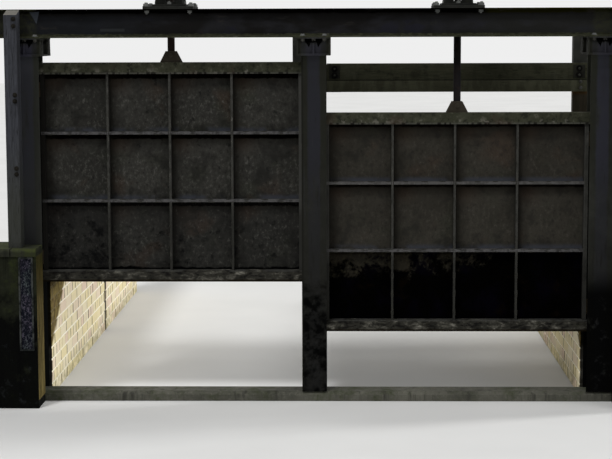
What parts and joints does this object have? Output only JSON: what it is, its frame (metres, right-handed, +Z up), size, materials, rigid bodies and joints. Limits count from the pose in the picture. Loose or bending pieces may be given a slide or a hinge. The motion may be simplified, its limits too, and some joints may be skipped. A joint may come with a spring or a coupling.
{
  "type": "sluice gate",
  "caption": "Two-bay river sluice gate with ribbed steel lift gates, screw stems and hoists on a twin head beam, between brick-lined abutments.",
  "frame": {"origin": "under the middle column, on the underside of the sill, in the plane of the columns", "axes": "+Z up; +X to the right seen from upstream; +Y downstream, away from the viewer of the picture"},
  "size_m": [4.284, 4.7353, 3.66],
  "materials": {
    "concrete": "rough cast concrete under water",
    "pier_stone": "dark weathered stone",
    "coping_stone": "pale worn coping with moss",
    "brick": "buff brickwork",
    "column_steel": "old paint with algae and rust",
    "saddle_steel": "old dark paint",
    "beam_steel": "old blue-grey paint with algae",
    "hoist_iron": "weathered cast iron",
    "timber": "weathered grey timber",
    "guard_steel": "rusty dark paint",
    "leaf_skin": "stained dark plate",
    "leaf_ribs": "stained dark ribs",
    "leaf_edge": "algae covered steel",
    "seal_rubber": "black seal strip",
    "shoe_brass": "dull bearing metal",
    "gauge_enamel": "worn dark enamel in a steel frame",
    "stem_steel": "greased steel"
  },
  "bodies": {
    "works": {"sill": "concrete", "pier_left": "pier_stone", "pier_right": "pier_stone", "coping_left": "coping_stone", "coping_right": "coping_stone", "side_wall_left": "brick", "side_wall_right": "brick", "joint_filler_left": "seal_rubber", "joint_filler_right": "seal_rubber", "gauge_boards": "gauge_enamel", "column_left": "column_steel", "column_middle": "column_steel", "column_right": "column_steel", "saddle_left": "saddle_steel", "saddle_middle": "saddle_steel", "saddle_right": "saddle_steel", "head_beam_front": "beam_steel", "head_beam_rear": "beam_steel", "hoist_plate_left": "hoist_iron", "hoist_plate_right": "hoist_iron", "pedestal_left": "hoist_iron", "pedestal_right": "hoist_iron", "hoist_left": "hoist_iron", "hoist_right": "hoist_iron", "timber_post_left": "timber", "timber_post_right": "timber", "guard_post_left": "guard_steel", "guard_post_right": "guard_steel", "guard_bracket": "guard_steel", "guard_rails": "timber"},
    "leaf_left": {"skin_left": "leaf_skin", "ribs_left": "leaf_ribs", "top_member_left": "leaf_edge", "bottom_bar_left": "leaf_edge", "seals_left": "seal_rubber", "guide_shoes_left": "shoe_brass", "lug_left": "stem_steel", "stem_left": "stem_steel"},
    "leaf_right": {"skin_right": "leaf_skin", "ribs_right": "leaf_ribs", "top_member_right": "leaf_edge", "bottom_bar_right": "leaf_edge", "seals_right": "seal_rubber", "guide_shoes_right": "shoe_brass", "lug_right": "stem_steel", "stem_right": "stem_steel"}
  },
  "joints": [
    {"name": "leaf_left_lift", "type": "slide", "parent": "works", "child": "leaf_left", "axis": [0, 0, 1], "range_m": [-0.67, 0.03]},
    {"name": "leaf_right_lift", "type": "slide", "parent": "works", "child": "leaf_right", "axis": [0, 0, 1], "range_m": [-0.358, 0.34]}
  ]
}
